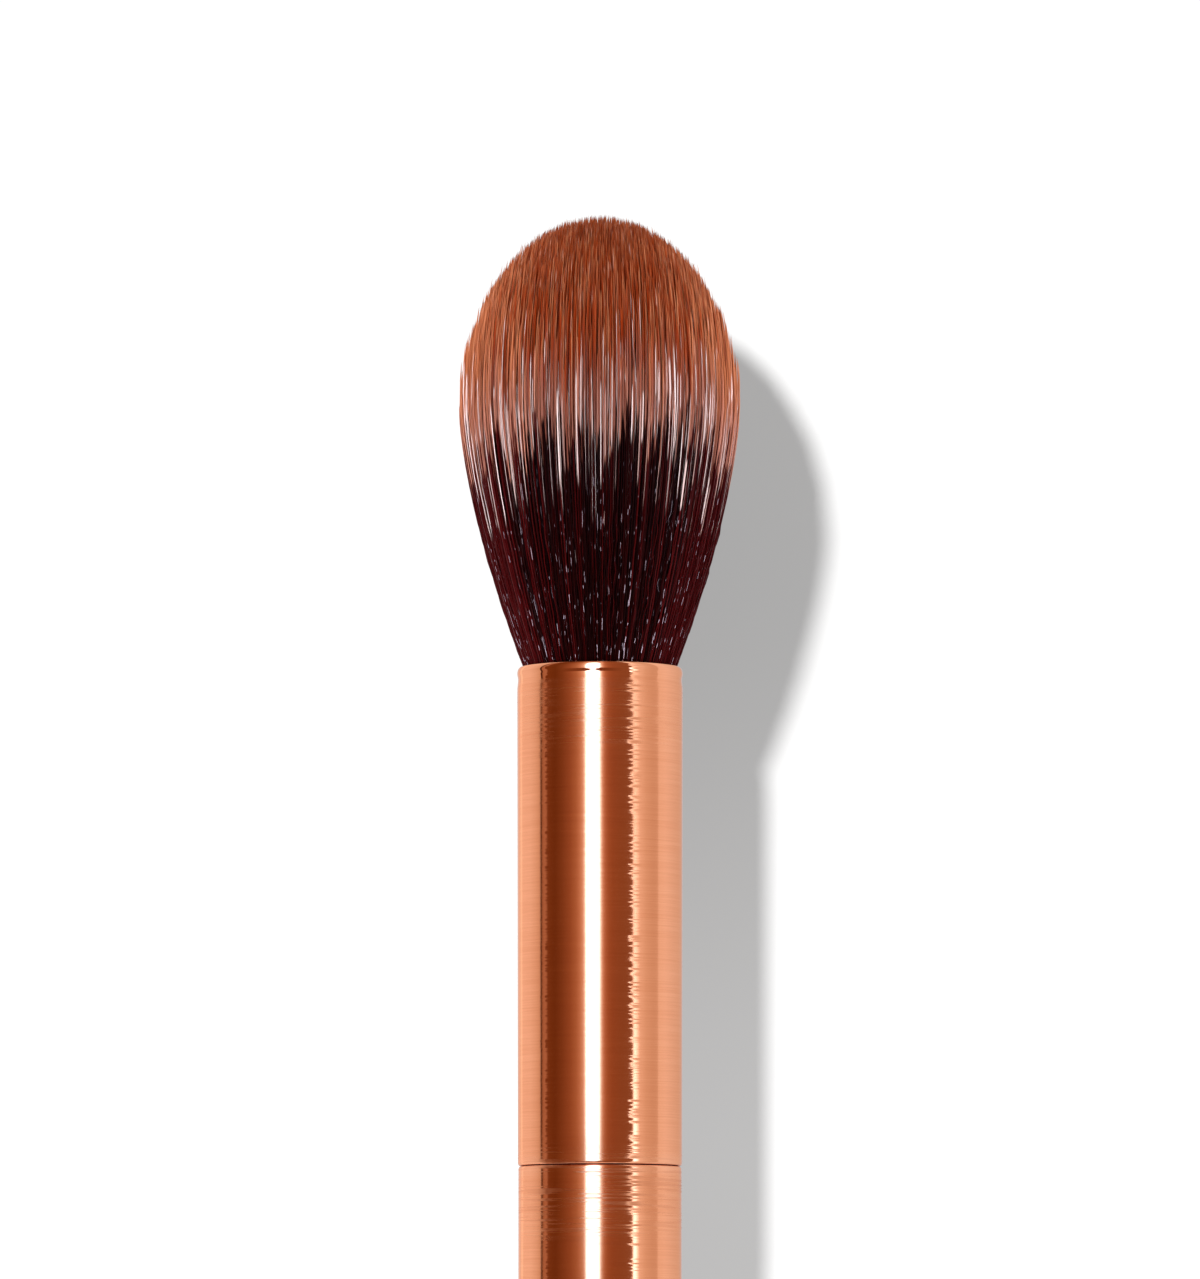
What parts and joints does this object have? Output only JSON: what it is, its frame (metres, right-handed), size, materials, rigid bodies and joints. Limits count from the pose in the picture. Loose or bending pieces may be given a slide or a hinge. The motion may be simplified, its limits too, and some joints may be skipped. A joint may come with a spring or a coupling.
{
  "type": "highlighter brush",
  "caption": "Highlighter brush: a domed ombre tuft of synthetic filaments in a brushed copper ferrule, on a weighted tube handle with a flat end.",
  "frame": {"origin": "centre of the flat end face of the handle, on which the brush stands", "axes": "+Z along the brush's axis from the end of the handle to the tip of the tuft; the brush is round, so +X and +Y are free"},
  "size_m": [0.0252, 0.0252, 0.1787],
  "materials": {
    "filament": "fine tapered polyester filament, rust above and burgundy below",
    "ferrule_copper": "copper plated, brushed round the girth",
    "handle_copper": "copper coloured, brushed round the girth",
    "weight_steel": "turned",
    "connector_plastic": "moulded",
    "root_resin": "cast epoxy",
    "root_thread": "waxed thread"
  },
  "bodies": {
    "root": {"bristle_head": "filament", "ferrule": "ferrule_copper", "handle_tube": "handle_copper", "end_cap": "handle_copper", "balance_weight": "weight_steel", "connector": "connector_plastic", "resin_plug": "root_resin", "root_band": "root_thread"}
  },
  "joints": []
}
